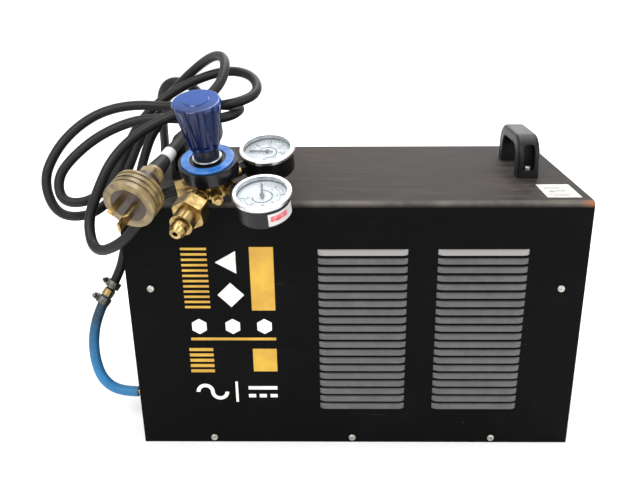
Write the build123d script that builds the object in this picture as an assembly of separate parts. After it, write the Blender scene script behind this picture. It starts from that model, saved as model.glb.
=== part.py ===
from build123d import *
import math
import os

# Portable inverter TIG welding machine with its gas regulator, hoses, mains cable and plug.
# Millimetres, +Z up. The origin is the centre of the case's underside. The control panel is at +X
# and the rear panel with the fan, cable and gas inlet at -X. The regulator lies on the top at -Y.

# Case
case_length = 480.0
case_width = 264.0
case_height = 286.0
sheet = 1.5
bend_radius = 6.0
half_length = case_length / 2
half_width = case_width / 2
panel_recess = 2.0
panel_gap = 0.2
panel_x = half_length - panel_recess
pan_flange = 24.0
screw_radius = 2.0
screw_head_radius = 4.0
bottom_screw_xs = (-160.0, -3.0, 154.0)
bottom_screw_z = 6.6
side_screw_x = 215.0
side_screw_z = 191.5

# Cooling slots: two columns on each long side
louvre_count = 20
louvre_pitch = 9.65
slot_length = 87.0
slot_height = 4.2
louvre_xs = (8.0, 132.0)
louvre_low_z = 46.0

# Carrying handles, one across each end of the top
handle_x = 194.0
handle_y = 10.0
handle_length = 106.0
handle_width = 24.0
handle_height = 46.0
handle_leg = 21.0
handle_grip = 14.0
handle_pocket_depth = 15.5

# Control panel fittings
small_knob_radius = 13.0
main_knob_radius = 16.0
knob_depth = 15.0
knob_places = {
    "current_knob": (0.0, 172.0, main_knob_radius),
    "slope_knob": (-80.0, 264.0, small_knob_radius),
    "balance_knob": (80.0, 264.0, small_knob_radius),
}
knob_shaft_radius = 3.0
running_gap = 0.08
switch_places = {
    "ac_dc_switch_lever": -62.0,
    "process_switch_lever": 0.0,
    "trigger_mode_lever": 62.0,
}
switch_z = 122.0
socket_y = 70.0
socket_z = 56.0
socket_bore = 6.5
socket_depth = 28.0

# Rear panel fittings
fan_z = 168.0
fan_y = -10.0
fan_size = 120.0
fan_depth = 38.0
gland_place = (-panel_x, 92.0, 62.0)
inlet_place = (-panel_x, -100.0, 46.0)
mains_switch_y = 84.0
mains_switch_z = 226.0

# Regulator: its own axis leans towards -Y, its body rests on the top's edge
regulator = Location((-146.0, -115.0, 304.2), (20.0, -2.0, 0.0))
reg_body_radius = 23.0
bonnet_radius = 29.5
bonnet_low = 8.0
bonnet_high = 26.0
neck_radius = 13.0
neck_high = 46.0
knob_low = 42.0
knob_high = 91.0
knob_low_radius = 15.0
knob_high_radius = 24.0
gauge_radius = 29.5
gauge_places = ((56.0, -38.0), (54.0, 40.0))
gauge_low = -14.0
gauge_high = 12.0
inlet_angle = -104.0
outlet_angle = -158.0

# Mains plug: its own +Z points from the cable to the pins
plug = Location((-206.0, -180.0, 305.0), (111.0, -14.0, 0.0))
plug_radius = 25.0

# Cords
cable_diameter = 12.0
hose_diameter = 11.0
blue_hose_diameter = 12.0
cable_route = [
    (-262, 92, 62), (-298, 93, 66), (-320, 106, 92), (-316, 132, 130), (-298, 152, 172),
    (-276, 162, 220), (-264, 158, 272), (-258, 136, 322), (-250, 110, 360), (-234, 98, 378),
    (-208, 96, 374), (-188, 92, 352), (-172, 70, 330), (-164, 32, 318), (-168, -8, 324),
    (-176, -44, 338), (-181, -72, 342), (-184, -98, 336), (-190, -118, 329),
    (-195.8, -142, 319.6),
]
blue_hose_route = [
    (-252, -100, 46), (-274, -100, 46), (-294, -97, 60), (-302, -91, 86), (-303, -82, 112),
    (-297, -72, 136), (-289, -63, 152),
]
black_hose_route = [
    (-285, -60, 158), (-274, -52, 177), (-266, -50, 205), (-260, -36, 232), (-257, -12, 262),
    (-255, 20, 294), (-242, 34, 330), (-206, 30, 358), (-162, 22, 359), (-126, 2, 360),
    (-140, -26, 352), (-177, -30, 351), (-212, -24, 352), (-248, -22, 349), (-284, -28, 335),
    (-313, -38, 314), (-333, -48, 290), (-328, -58, 264), (-300, -54, 262), (-280, -30, 276),
    (-272, -2, 300), (-260, 26, 334), (-236, 46, 360), (-194, 50, 384), (-150, 46, 397),
    (-118, 30, 392), (-108, 0, 376), (-132, -22, 367), (-172, -12, 362), (-215, 4, 360),
    (-254, 8, 362), (-289, 2, 356), (-318, -8, 340), (-342, -20, 315), (-356, -34, 282),
    (-342, -44, 244), (-308, -38, 240), (-286, -14, 254), (-274, 16, 280), (-268, 48, 308),
    (-250, 72, 340), (-220, 74, 374), (-186, 62, 402), (-160, 34, 416), (-144, 4, 412),
    (-146, -28, 388), (-172, -52, 368), (-209, -58, 355), (-237, -70, 339), (-257, -86, 318),
    (-270, -98, 290), (-282, -108, 257), (-270, -130, 230), (-236, -146, 246), (-212, -151, 272),
    (-199, -135, 295), (-180, -128, 298),
]


def block(x0, x1, y0, y1, z0, z1):
    """A box between two corners."""
    centre = Pos((x0 + x1) / 2, (y0 + y1) / 2, (z0 + z1) / 2)
    return centre * Box(x1 - x0, y1 - y0, z1 - z0)


def disc(radius, z0, z1):
    """A cylinder about the Z axis between two heights."""
    return Pos(0, 0, (z0 + z1) / 2) * Cylinder(radius, z1 - z0)


def ring(outer, inner, z0, z1):
    """A tube about the Z axis between two heights."""
    return disc(outer, z0, z1) - disc(inner, z0 - 1, z1 + 1)


def hexagon(across_flats, z0, z1):
    """A hexagonal bar about the Z axis between two heights."""
    outline = RegularPolygon(across_flats / math.sqrt(3), 6)
    return Pos(0, 0, z0) * extrude(outline, z1 - z0)


def facing_x(y, z, x, sign=1):
    """The place of a piece whose own +Z points out of an end panel."""
    return Location((x, y, z), (0, 90 * sign, 0))


def facing_y(x, y, z, sign=1):
    """The place of a piece whose own +Z points out of a long side."""
    return Location((x, y, z), (-90 * sign, 0, 0))


def radial(angle, height=0.0):
    """On the regulator: the place of a piece whose own +Z points out of the body at an angle."""
    return regulator * Location((0, 0, height), (0, 0, angle)) * Location((0, 0, 0), (0, 90, 0))


def barb(radius, length, start):
    """A hose tail with three ridges about the Z axis."""
    tail = disc(radius - 0.9, start, start + length)
    ridge = length * 0.16
    for i in range(3):
        tail += Pos(0, 0, start + length * (0.25 + 0.28 * i)) * Cone(radius, radius - 0.9, ridge)
    return tail


# ---------------------------------------------------------------- case

def screw_spots():
    """Every cover screw: its place, with its own +Z pointing out of the cover."""
    spots = []
    for sign in (-1, 1):
        y = sign * half_width
        spots += [facing_y(x, y, bottom_screw_z, sign) for x in bottom_screw_xs]
        spots += [facing_y(x, y, side_screw_z, sign) for x in (-side_screw_x, side_screw_x)]
    return spots


def screw_holes():
    hole = disc(screw_radius + 0.15, -8, 3)
    return [spot * hole for spot in screw_spots()]


def louvre_spots():
    spots = []
    for turn in (0, 180):
        for x in louvre_xs:
            for row in range(louvre_count):
                z = louvre_low_z + row * louvre_pitch
                place = Pos(x if turn == 0 else -x, -half_width, z)
                spots.append(Location((0, 0, 0), (0, 0, turn)) * place)
    return spots


def make_top_cover():
    outer = block(-half_length, half_length, -half_width, half_width, 0, case_height)
    top_edges = outer.edges().filter_by(Axis.X).group_by(Axis.Z)[-1]
    outer = fillet(top_edges, bend_radius)
    inner = block(-half_length - 1, half_length + 1, -half_width + sheet, half_width - sheet,
                  -1, case_height - sheet)
    inner_edges = inner.edges().filter_by(Axis.X).group_by(Axis.Z)[-1]
    cover = outer - fillet(inner_edges, bend_radius - sheet)
    slot = block(-slot_length / 2, slot_length / 2, -1, 3, 0, slot_height)
    cover -= [spot * slot for spot in louvre_spots()]
    cover -= screw_holes()
    return cover - [place * disc(3.2, -3, 1) for place in handle_screw_places()]


def make_base_pan():
    width = half_width - sheet - panel_gap
    length = panel_x - sheet - panel_gap
    pan = block(-length, length, -width, width, 0, sheet)
    for sign in (-1, 1):
        low, high = sorted((sign * width, sign * (width - sheet)))
        pan += block(-length, length, low, high, 0, pan_flange)
    return pan - screw_holes()


def end_panel(sign):
    """An end plate with a flange down each long side, clear of the base pan's flanges."""
    width = half_width - sheet - panel_gap
    top = case_height - sheet - panel_gap
    low_x, high_x = sorted((sign * panel_x, sign * (panel_x - sheet)))
    plate = block(low_x, high_x, -width, width, 0, top)
    plate = fillet(plate.edges().filter_by(Axis.X).group_by(Axis.Z)[-1], bend_radius - sheet)
    for side in (-1, 1):
        low_x, high_x = sorted((sign * (panel_x - sheet), sign * (panel_x - 34)))
        low_y, high_y = sorted((side * width, side * (width - sheet)))
        plate += block(low_x, high_x, low_y, high_y, pan_flange + 4, top - 12)
    return plate - screw_holes()


def make_control_panel():
    panel = end_panel(1)
    for y, z, radius in knob_places.values():
        panel -= facing_x(y, z, panel_x) * disc(5.1, -3, 1)
    for y in switch_places.values():
        panel -= facing_x(y, switch_z, panel_x) * disc(5.1, -3, 1)
    for sign in (-1, 1):
        panel -= facing_x(sign * socket_y, socket_z, panel_x) * disc(13.1, -3, 1)
    panel -= facing_x(0, 82, panel_x) * disc(6.7, -3, 1)
    panel -= facing_x(0, 44, panel_x) * disc(8.2, -3, 1)
    panel -= block(panel_x - 3, panel_x + 1, -38.1, 38.1, 216.9, 249.1)
    for y in (-20, 20):
        panel -= facing_x(y, 262, panel_x) * disc(4.1, -3, 1)
    return panel


def make_rear_panel():
    panel = end_panel(-1)
    panel -= facing_x(fan_y, fan_z, -panel_x, -1) * disc(56, -3, 1)
    for place in fan_screw_places():
        panel -= place * disc(2.2, -3, 1)
    panel -= facing_x(gland_place[1], gland_place[2], -panel_x, -1) * disc(9.1, -3, 1)
    panel -= facing_x(inlet_place[1], inlet_place[2], -panel_x, -1) * disc(5.1, -3, 1)
    panel -= block(-panel_x - 1, -panel_x + 3, mains_switch_y - 11.1, mains_switch_y + 11.1,
                   mains_switch_z - 15.1, mains_switch_z + 15.1)
    return panel


def make_cover_screws():
    head = disc(screw_head_radius, 0, 2.4)
    head = fillet(head.edges().group_by(Axis.Z)[-1], 1.6)
    cross = block(-2.2, 2.2, -0.5, 0.5, 1.2, 3) + block(-0.5, 0.5, -2.2, 2.2, 1.2, 3)
    screw = head - cross + disc(screw_radius, -7, 0)
    return Compound(children=[spot * screw for spot in screw_spots()])


def handle_screw_ys():
    inset = 8.5
    return (handle_y - handle_length / 2 + inset, handle_y + handle_length / 2 - inset)


def handle_screw_places():
    return [Pos(x, y, case_height) for x in (-handle_x, handle_x) for y in handle_screw_ys()]


def make_handle(x):
    """A moulded bridge handle across the case, with a screw pocket in each leg's outer end."""
    half = handle_length / 2
    outer = Rectangle(handle_length, handle_height)
    outer = fillet(outer.vertices().group_by(Axis.Y)[-1], 27)
    gap_height = handle_height - handle_grip
    gap = Rectangle(handle_length - 2 * handle_leg, gap_height + 0.01)
    gap = Pos(0, (gap_height - handle_height) / 2) * gap
    gap = fillet(gap.vertices().group_by(Axis.Y)[-1], 12)
    centre = (x - handle_width / 2, handle_y, case_height + handle_height / 2)
    side = Plane(origin=centre, x_dir=(0, 1, 0), z_dir=(1, 0, 0))
    handle = extrude(side * (outer - gap), handle_width)
    rims = handle.edges().filter_by_position(Axis.Z, case_height + 1, case_height + handle_height + 1)
    handle = fillet([e for e in rims if abs(e.center().X - x) > handle_width / 2 - 0.1], 4)
    for sign in (-1, 1):
        ends = (handle_y + sign * (half - handle_pocket_depth), handle_y + sign * (half + 1))
        low, high = sorted(ends)
        pocket = block(x - 6.2, x + 6.2, low, high, case_height + 9, case_height + 37)
        top_corners = pocket.edges().filter_by(Axis.Y).group_by(Axis.Z)[-1]
        handle -= fillet(top_corners, 4)
    for y in handle_screw_ys():
        handle -= Pos(x, y, case_height) * disc(3.2, -1, 10)
    return handle


def make_handle_screws():
    head = fillet(disc(5.2, 9, 13).edges().group_by(Axis.Z)[-1], 1.5)
    screw = head - hexagon(4, 10.5, 14) + disc(3, -5, 9)
    return Compound(children=[place * screw for place in handle_screw_places()])


# ---------------------------------------------------------------- inside

def make_transformer_core():
    core = block(-20, 60, -48, 42, 8, 68)
    core -= block(-4, 44, -32, -14, 7, 69)
    core -= block(-4, 44, 8, 26, 7, 69)
    return core + block(-15, 55, -50, 44, sheet, 8)


def make_transformer_winding():
    winding = block(-3.5, 43.5, -31.5, 25.5, 9, 78)
    winding = fillet(winding.edges().filter_by(Axis.Z), 8)
    return winding - block(-4, 44, -14.3, 8.3, 8, 68.3) - block(-30, -3, -60, 60, 0, 90)


def make_output_choke():
    choke = Torus(28, 13)
    return Pos(120, 0, 15.5) * choke + Pos(120, 0, sheet) * ring(34, 20, 0, 5)


def make_heatsinks():
    """Two aluminium extrusions side by side, their fins along the air's path."""
    sink = block(-90, 90, -50, 50, 0, 8)
    for i in range(11):
        y = -50 + 9.7 * i
        sink += block(-90, 90, y, y + 3, 8, 40)
    return Compound(children=[Pos(20, -64, 100) * sink, Pos(20, 64, 100) * sink])


def make_circuit_boards():
    power = block(-80, 130, -118, 118, 160, 162)
    control = block(200, 202, -95, 95, 110, 272)
    return Compound(children=[power, control])


def make_capacitors():
    can = fillet(disc(17, 162, 210).edges().group_by(Axis.Z)[-1], 2)
    return Compound(children=[Pos(x, y, 0) * can for x in (-50, -10, 30) for y in (-60, 60)])


def make_spark_coil():
    former = disc(16, -35, 35) + disc(22, -35, -31) + disc(22, 31, 35)
    winding = sum([Pos(0, 0, z) * Torus(16, 2.4) for z in range(-27, 30, 6)], start=Part())
    coil = Location((92, 0, 196), (90, 0, 0)) * (former + winding)
    return coil + block(82, 102, -35, -31, 162, 182) + block(82, 102, 31, 35, 162, 182)


# ---------------------------------------------------------------- control panel

def make_knob(name):
    """A fluted knob with its own shaft, which runs in the potentiometer behind the panel."""
    y, z, radius = knob_places[name]
    base = disc(radius + 2.5, 1, 4)
    grip = Pos(0, 0, 9.5) * Cone(radius, radius - 2, knob_depth - 4)
    grip = fillet(grip.edges().group_by(Axis.Z)[-1], 1.2)
    for i in range(8):
        spot = Location((0, 0, 0), (0, 0, 45 * i + 22.5)) * Pos(radius + 1.4, 0, 0)
        grip -= spot * disc(3, 4, knob_depth + 2)
    knob = base + grip - block(-0.6, 0.6, 2, radius, knob_depth - 0.6, knob_depth + 1)
    shaft = disc(knob_shaft_radius, -12, 1)
    return facing_x(y, z, panel_x) * (knob + shaft)


def make_potentiometers():
    bush = ring(5, knob_shaft_radius + running_gap, -13, 0.4)
    body = disc(9, -22, -13)
    pot = bush + body
    return Compound(children=[facing_x(y, z, panel_x) * pot for y, z, radius in knob_places.values()])


def make_switch_lever(y):
    """A toggle lever on a ball, tapered towards its neck."""
    lever = Pos(0, 0, 9) * Cone(1.6, 2.9, 14)
    lever = fillet(lever.edges().group_by(Axis.Z)[-1], 1)
    return facing_x(y, switch_z, panel_x) * (lever + Sphere(2.6))


def make_switch_bodies():
    socket = disc(5, -3, 4.5) - Sphere(2.6 + running_gap) - Pos(0, 0, 3.4) * Cone(1.9, 4.2, 5)
    nut = hexagon(13, 0, 2) - disc(5, -1, 3)
    body = block(-6, 6, -6.5, 6.5, -24, -3)
    switch = body + socket + nut
    return Compound(children=[facing_x(y, switch_z, panel_x) * switch for y in switch_places.values()])


def make_weld_sockets():
    """Two panel sockets for twist-lock welding plugs, each with a key slot beside its bore."""
    flange = disc(20, 0, 9)
    flange = fillet(flange.edges().group_by(Axis.Z)[-1], 2)
    barrel = disc(13, -32, 0)
    socket = flange + barrel - disc(socket_bore, 9 - socket_depth, 10)
    socket -= block(socket_bore - 2, socket_bore + 2.5, -1.6, 1.6, 9 - socket_depth, 10)
    socket += disc(6, -46, -32)
    places = [facing_x(sign * socket_y, socket_z, panel_x) for sign in (-1, 1)]
    return Compound(children=[place * socket for place in places])


def make_gas_outlet():
    nipple = disc(6.6, -8, 12) + hexagon(19, 0, 4) - disc(2.5, -30, 13)
    return facing_x(0, 82, panel_x) * (nipple + ring(4, 2.5, -22, -8))


def make_torch_control_socket():
    socket = disc(8, -14, 12) + disc(11, 0, 3) - disc(6.2, 3, 13)
    for angle in range(0, 360, 72):
        spot = Location((0, 0, 0), (0, 0, angle)) * Pos(3.6, 0, 0)
        socket -= spot * disc(0.8, 0, 4)
    return facing_x(0, 44, panel_x) * socket


def make_display_window():
    window = block(panel_x - 6, panel_x, -38, 38, 217, 249)
    bezel = block(panel_x, panel_x + 3, -42, 42, 213, 253)
    bezel = fillet(bezel.edges().filter_by(Axis.X), 3)
    return bezel + window - block(panel_x + 1.5, panel_x + 4, -34, 34, 220, 246)


def make_indicator_lamps():
    lamp = disc(4, -8, 2) + disc(5.5, 0, 1.2)
    lamp = lamp + Pos(0, 0, 2) * Sphere(3.4)
    return Compound(children=[facing_x(y, 262, panel_x) * lamp for y in (-20, 20)])


# ---------------------------------------------------------------- rear panel

def fan_corners():
    reach = 52.5
    return [Pos(a * reach, b * reach, 0) for a in (-1, 1) for b in (-1, 1)]


def fan_screw_places():
    middle = facing_x(fan_y, fan_z, -panel_x, -1)
    return [middle * corner for corner in fan_corners()]


def fan_place():
    return facing_x(fan_y, fan_z, -panel_x + sheet, -1)


def make_fan_frame():
    """The fan's square frame, with the motor held on four struts at its inner end."""
    half = fan_size / 2
    frame = block(-half, half, -half, half, -fan_depth, -0.1)
    frame = fillet(frame.edges().filter_by(Axis.Z), 5)
    frame -= disc(57, -fan_depth - 1, 1)
    hub = disc(19, -fan_depth, -fan_depth + 5)
    strut = block(17, 58, -3, 3, -fan_depth, -fan_depth + 4)
    for i in range(4):
        frame += Location((0, 0, 0), (0, 0, 45 + 90 * i)) * strut
    frame += hub - disc(2.5 + running_gap, -fan_depth - 1, 0)
    for corner in fan_corners():
        frame -= corner * disc(2.2, -fan_depth - 1, 1)
    return fan_place() * frame


def make_fan_rotor():
    hub = fillet(disc(20, -fan_depth + 6, -4).edges().group_by(Axis.Z)[-1], 2)
    rotor = hub + disc(2.5, -fan_depth + 1, -fan_depth + 6)
    blade = Pos(36.5, 0, 0) * Box(38, 26, 2.2)
    for i in range(7):
        spot = Location((0, 0, -19), (0, 0, 360 / 7 * i)) * Location((0, 0, 0), (32, 0, 0))
        rotor += spot * blade
    return fan_place() * rotor


def make_fan_guard():
    """Finger guard: four rings on a cross, with an eye at each corner."""
    thick = 2.4
    guard = Rot(0, 0, 45) * (block(-76, 76, -1.5, 1.5, 0, thick) + block(-1.5, 1.5, -76, 76, 0, thick))
    for radius in (14, 28, 42, 56):
        guard += ring(radius + 1.3, radius - 1.3, 0, thick)
    for place in fan_corners():
        guard += place * disc(5, 0, thick)
        guard -= place * disc(2.2, -1, 5)
    return facing_x(fan_y, fan_z, -panel_x, -1) * guard


def make_fan_screws():
    head = fillet(disc(4, 2.4, 4.8).edges().group_by(Axis.Z)[-1], 1.4)
    screw = head + disc(2, -20, 2.4)
    return Compound(children=[place * screw for place in fan_screw_places()])


def make_gas_inlet_barb():
    fitting = disc(5, -8, 0) + hexagon(17, 0, 6) + disc(4.6, 6, 12) + barb(4.6, 24, 10)
    return facing_x(inlet_place[1], inlet_place[2], -panel_x, -1) * (fitting - disc(2.5, -9, 40))


def make_gas_valve():
    body = block(-222, -194, -112, -88, 36, 58)
    coil = block(-224, -192, -116, -84, 58.2, 92)
    coil = fillet(coil.edges().filter_by(Axis.Z), 3)
    nose = facing_x(inlet_place[1], inlet_place[2], -panel_x, -1) * ring(7, 5.02, -16, -2)
    return body + coil + nose + block(-208, -200, -104, -96, 58, 60)


def make_inner_gas_tube():
    """Clear tube from the valve, along the pan, to the outlet on the control panel."""
    start = (-194.0, -100.0, 46.0)
    end = (panel_x - 23.0, 0.0, 82.0)
    route = [start, (-120, -108, 46), (60, -110, 44), (150, -80, 60), (190, -6, 82), end]
    return cord_tube("inner_gas_tube", route, 8.0)


def make_mains_switch_body():
    y, z = mains_switch_y, mains_switch_z
    body = block(-panel_x, -panel_x + 28, y - 11, y + 11, z - 15, z + 15)
    bezel = block(-panel_x - 2.5, -panel_x, y - 13, y + 13, z - 17, z + 17)
    well = block(-panel_x - 4, -panel_x + 13, y - 8, y + 8, z - 12.4, z + 12.4)
    return bezel + body - well


def make_mains_switch_rocker():
    """A rocker that tips about the switch's width, drawn level between on and off."""
    y, z = mains_switch_y, mains_switch_z
    outline = make_face(Polyline((-12, -2), (0, -3.5), (12, -2), (9, 9), (-9, 9), close=True))
    side = Plane(origin=(-panel_x, y - 7.7, z), x_dir=(0, 0, 1), z_dir=(0, 1, 0))
    return extrude(side * outline, 15.4)


def make_cable_gland():
    """A ribbed strain-relief gland with its lock nut inside the panel."""
    gland = disc(9, -14, 0) + hexagon(24, 0, 6) + disc(11, 6, 16)
    dome = Pos(0, 0, 20) * Cone(11, 8.2, 8)
    nut = hexagon(24, -7, -1.6)
    y, z = gland_place[1], gland_place[2]
    return facing_x(y, z, -panel_x, -1) * (gland + dome + nut - disc(4, -15, 10))


# ---------------------------------------------------------------- regulator

def make_regulator_body():
    body = disc(reg_body_radius, -7, 8) + disc(16, -13, -7)
    body = fillet(body.edges().group_by(Axis.Z)[0], 2)
    body = regulator * body
    for angle, reach in ((gauge_angle(0), 31), (gauge_angle(1), 31), (inlet_angle, 28), (outlet_angle, 29)):
        body += radial(angle) * disc(7.6, 0, reach)
    body += radial(-72) * disc(5.5, 0, 27)
    body -= regulator * disc(12, 0, 9)
    return body


def make_regulator_bonnet():
    skirt = disc(bonnet_radius, bonnet_low, bonnet_high - 1)
    skirt = chamfer(skirt.edges().group_by(Axis.Z)[0], 3)
    bonnet = skirt + disc(18, bonnet_high - 1, bonnet_high) + disc(neck_radius, bonnet_high, neck_high)
    bonnet -= disc(20, bonnet_low - 1, bonnet_high - 4)
    bonnet -= disc(4 + running_gap, 0, neck_high + 1)
    return regulator * bonnet


def make_bonnet_ring():
    blue = ring(26.5, 18.1, bonnet_high - 1, bonnet_high + 1.2)
    return regulator * fillet(blue.edges().group_by(Axis.Z)[-1], 0.8)


def make_pressure_knob():
    """A tapered hand knob with ten shallow flutes and a recess that passes over the neck."""
    height = knob_high - knob_low
    lean = math.degrees(math.atan((knob_high_radius - knob_low_radius) / height))
    knob = Pos(0, 0, knob_low + height / 2) * Cone(knob_low_radius, knob_high_radius, height)
    knob = fillet(knob.edges().group_by(Axis.Z)[-1], 2.5)
    for i in range(10):
        spot = Location((0, 0, knob_low), (0, 0, 36 * i))
        spot = spot * Location((knob_low_radius + 3.2, 0, 0), (0, lean, 0))
        knob -= spot * disc(5, 3, height + 20)
    knob -= disc(neck_radius + 0.6, knob_low - 1, knob_low + 14)
    return regulator * (knob - disc(4 + running_gap, knob_low, knob_low + 34.4))


def make_adjusting_screw():
    return regulator * disc(4, 18.3, knob_low + 34)


def make_inlet_stem():
    """The pipe to the cylinder: a collar against the body, a pipe, and the nose that seats."""
    stem = disc(7, 28, 33) + disc(5.5, 33, 84) + disc(8, 76, 83)
    stem += Pos(0, 0, 85.5) * Cone(8, 5.5, 5)
    return radial(inlet_angle) * (stem - disc(2.6, 27, 90))


def make_inlet_nut():
    """The union nut turns freely on the pipe: a hexagon, then the outside thread."""
    nut = hexagon(30, 44, 60) & Pos(0, 0, 52) * Cone(19, 16.5, 16)
    nut += disc(11.4, 60, 75)
    return radial(inlet_angle) * (nut - disc(5.5 + running_gap, 43, 76))


def make_relief_valve():
    valve = hexagon(11, 27, 35) + disc(3.5, 35, 40)
    return radial(-72) * valve


def make_hose_outlet():
    outlet = hexagon(16, 29, 37) + barb(4.4, 14, 36.9)
    return radial(outlet_angle) * (outlet - disc(2, 30, 70))


def gauge_angle(index):
    x, y = gauge_places[index]
    return math.degrees(math.atan2(y, x))


def at_gauges(shape):
    return Compound(children=[regulator * Pos(x, y, 0) * shape for x, y in gauge_places])


def make_gauge_cases():
    """Two gauges: a cup for the works, and a hexagon and nipple into the regulator's body."""
    gauges = []
    for index, (x, y) in enumerate(gauge_places):
        reach = math.hypot(x, y)
        cup = disc(gauge_radius - 2, gauge_low, gauge_high - 4)
        cup = fillet(cup.edges().group_by(Axis.Z)[0], 2)
        cup -= disc(gauge_radius - 4, gauge_high - 7, gauge_high)
        cup -= disc(1 + running_gap, gauge_high - 12, gauge_high)
        gauge = regulator * Pos(x, y, 0) * cup
        stalk = hexagon(13, 31, reach - gauge_radius + 2.5)
        gauges.append(gauge + radial(gauge_angle(index)) * stalk)
    return Compound(children=gauges)


def make_gauge_bezels():
    bezel = ring(gauge_radius, gauge_radius - 4.5, gauge_high - 4, gauge_high)
    return at_gauges(fillet(bezel.edges().group_by(Axis.Z)[-1].sort_by(SortBy.LENGTH)[-1], 1.5))


def make_needle(index, angle):
    """A pointer with a short tail, on a spindle through the dial."""
    low = gauge_high - 5.2
    needle = block(-6, 19, -0.9, 0.9, low, low + 0.8) + disc(2.4, low, low + 1.4)
    needle += disc(1.0, gauge_high - 11, low)
    x, y = gauge_places[index]
    return regulator * Location((x, y, 0), (0, 0, angle)) * needle


# ---------------------------------------------------------------- mains plug

def make_plug_body():
    """The plug's dark contact block, with the amber barrel behind it."""
    front = disc(17, -14, 12)
    barrel = Pos(0, 0, -19) * Cone(12, 17, 10) + disc(12, -28, -24)
    return plug * (front + barrel)


def make_plug_ring():
    """A ribbed screw ring that turns on the plug's front."""
    rim = ring(plug_radius, 17.3, -13, 12)
    rim = chamfer(rim.edges().group_by(Axis.Z)[0].sort_by(SortBy.LENGTH)[-1], 3)
    for z in (-6, 0, 6):
        rim -= ring(plug_radius + 1, plug_radius - 1.2, z - 1.2, z + 1.2)
    return plug * rim


def make_plug_pins():
    live = block(-3.2, 3.2, -0.9, 0.9, 0, 19)
    earth = block(-1.2, 1.2, -4.5, 4.5, 0, 22)
    pins = [plug * Location((7.5 * s, 4, 12), (0, 0, 30 * s)) * live for s in (-1, 1)]
    pins.append(plug * Pos(0, -9, 12) * earth)
    return Compound(children=pins)


def make_plug_gland():
    return plug * (hexagon(22, -36, -28) + disc(9.5, -42, -36))


# ---------------------------------------------------------------- cords

def corner_radii(route):
    """As large an arc at each corner as its two runs allow."""
    points = [Vector(*point) for point in route]
    radii = []
    for before, corner, after in zip(points, points[1:], points[2:]):
        turn = (corner - before).get_angle(after - corner)
        shorter = min((corner - before).length, (after - corner).length)
        radii.append(0.45 * shorter / math.tan(math.radians(turn) / 2))
    return radii


def cord_tube(name, route, diameter):
    """A round tube along straight runs joined by tangent arcs."""
    radii = corner_radii(route)
    path = FilletPolyline(*route, radius=radii)
    section = Plane(origin=path @ 0, z_dir=path % 0) * Circle(diameter / 2)
    tube = sweep(section, path=path)
    ideal = math.pi * diameter ** 2 / 4 * path.length
    print(name, "length", round(path.length), "least radius", round(min(radii)),
          "volume ratio", round(tube.volume / ideal, 4))
    return tube


def joiner_place():
    """Midway between the two hoses' ends, with its own +Z towards the black hose."""
    low = Vector(*blue_hose_route[-1])
    high = Vector(*black_hose_route[0])
    return Plane(origin=(low + high) * 0.5, z_dir=high - low).location


def make_hose_joiner():
    """A brass tube pushed into both hoses, with a collar between their ends."""
    half_gap = (Vector(*black_hose_route[0]) - Vector(*blue_hose_route[-1])).length / 2
    joiner = disc(6.8, -half_gap, half_gap) + disc(3.6, -half_gap - 9, half_gap + 9)
    return joiner_place() * joiner


def make_hose_clamps():
    """A worm-drive clamp round each hose beside the joiner, its screw standing off the band."""
    clamps = []
    for height, turn in ((-10.5, 150), (10.5, 135)):
        band = ring(8.2, 6.3, -4, 4)
        box = block(6.5, 12.5, -5, 5, -3.6, 3.6)
        screw = Pos(9.8, 0, 0) * Rot(90, 0, 0) * (Cylinder(2.2, 17) + Pos(0, 0, 8.5) * Cylinder(3.2, 3))
        clamp = band + box + screw - disc(6.3, -5, 5)
        clamps.append(joiner_place() * Location((0, 0, height), (0, 0, turn)) * clamp)
    return Compound(children=clamps)


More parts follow.
